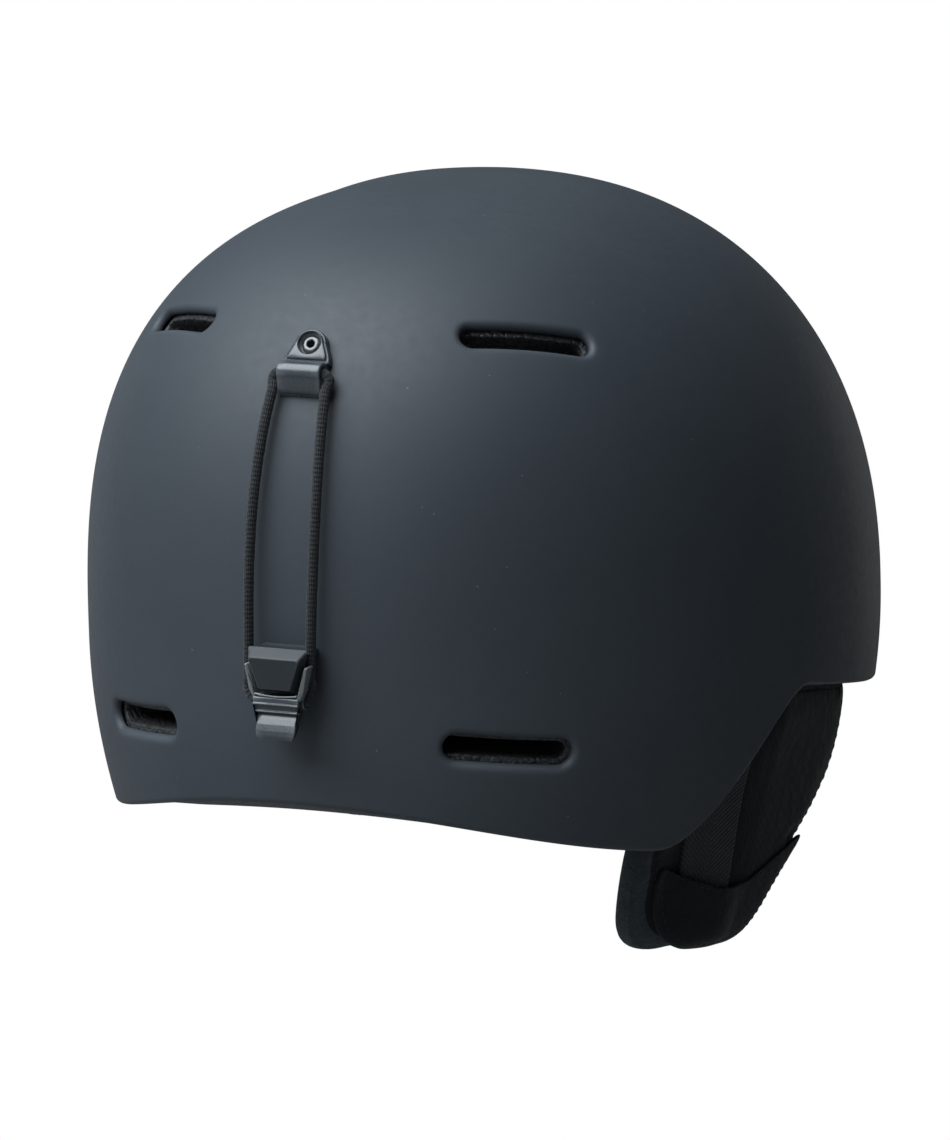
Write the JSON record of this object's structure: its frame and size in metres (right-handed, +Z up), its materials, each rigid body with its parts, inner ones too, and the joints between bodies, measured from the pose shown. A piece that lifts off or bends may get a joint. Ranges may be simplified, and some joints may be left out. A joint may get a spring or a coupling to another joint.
{
  "type": "hard-shell helmet",
  "caption": "Half helmet with a matte hard shell, foam liner, vent slots, soft ear pads, webbing chin strap and a rear elastic goggle retainer.",
  "frame": {"origin": "middle of the head opening, level with the lowest edge of the shell", "axes": "-Y is the front of the helmet, +Z is up as worn, -X is the wearer's right"},
  "size_m": [0.222, 0.2881, 0.2223],
  "materials": {
    "shell_matte": "soft-touch matte",
    "foam": "beaded foam",
    "comfort_fabric": "brushed knit",
    "hook_loop": "hook and loop",
    "moulded_plastic": "fine grain",
    "steel": "satin",
    "pad_fleece": "fleece",
    "stretch_fabric": "smooth stretch knit",
    "webbing": "twill webbing",
    "rubber_keeper": "matte rubber",
    "satin_plastic": "satin",
    "cord": "braided"
  },
  "bodies": {
    "shell": {"outer_shell": "shell_matte", "eps_liner": "foam", "crown_pad": "comfort_fabric", "brow_pad": "comfort_fabric", "nape_pad": "comfort_fabric", "side_pad_left": "comfort_fabric", "side_pad_right": "comfort_fabric", "pad_dots": "hook_loop", "strap_anchors": "moulded_plastic", "anchor_bolts": "steel", "goggle_bracket": "satin_plastic", "goggle_bracket_screw": "steel", "goggle_bracket_nut": "steel", "goggle_catch": "satin_plastic", "goggle_catch_screw": "steel"},
    "cord_loop": {"goggle_cord": "cord"},
    "pull_tab": {"goggle_tab": "satin_plastic"},
    "ear_right": {"ear_pad_right": "pad_fleece", "ear_band_right": "stretch_fabric", "side_strap_right": "webbing", "swivel_rivet_right": "moulded_plastic"},
    "ear_left": {"ear_pad_left": "pad_fleece", "ear_band_left": "stretch_fabric", "side_strap_left": "webbing", "swivel_rivet_left": "moulded_plastic"},
    "strap_right": {"chin_web_right": "webbing", "buckle_socket": "moulded_plastic"},
    "strap_left": {"chin_web_left": "webbing", "buckle_plug": "moulded_plastic", "web_slider": "moulded_plastic"},
    "sleeve": {"chin_pad": "comfort_fabric"},
    "keeper": {"web_keeper": "rubber_keeper"}
  },
  "joints": [
    {"name": "goggle_loop_swing", "type": "hinge", "parent": "shell", "child": "cord_loop", "pos_m": [0, 0.14305, 0.1252], "axis": [1, 0, 0], "range_deg": [0, 100]},
    {"name": "goggle_tab_pull", "type": "slide", "parent": "cord_loop", "child": "pull_tab", "axis": [0, -0.0083, -1], "range_m": [0, 0.006], "deforming": ["goggle_cord"]},
    {"name": "ear_right_flex", "type": "hinge", "parent": "shell", "child": "ear_right", "pos_m": [-0.09, 0, 0.04], "axis": [0, -1, 0], "range_deg": [-4, 20], "stiffness_Nm_per_rad": 1.5},
    {"name": "ear_left_fold", "type": "hinge", "parent": "shell", "child": "ear_left", "pos_m": [0.09, 0, 0.04], "axis": [0, -1, 0], "range_deg": [0, 48], "stiffness_Nm_per_rad": 1.5},
    {"name": "chin_strap_right_swing", "type": "hinge", "parent": "ear_right", "child": "strap_right", "pos_m": [-0.061, 0.008, 0], "axis": [1, 0, 0], "range_deg": [0, 55]},
    {"name": "chin_strap_left_swing", "type": "hinge", "parent": "ear_left", "child": "strap_left", "pos_m": [0.04135, 0.008, 0.03137], "axis": [0.7193, 0, -0.6947], "range_deg": [0, 55]},
    {"name": "chin_pad_slide", "type": "slide", "parent": "strap_left", "child": "sleeve", "axis": [0, -1, 0], "range_m": [-0.005, 0.008]},
    {"name": "keeper_slide", "type": "slide", "parent": "strap_left", "child": "keeper", "axis": [0, -1, 0], "range_m": [0, 0.006]}
  ]
}
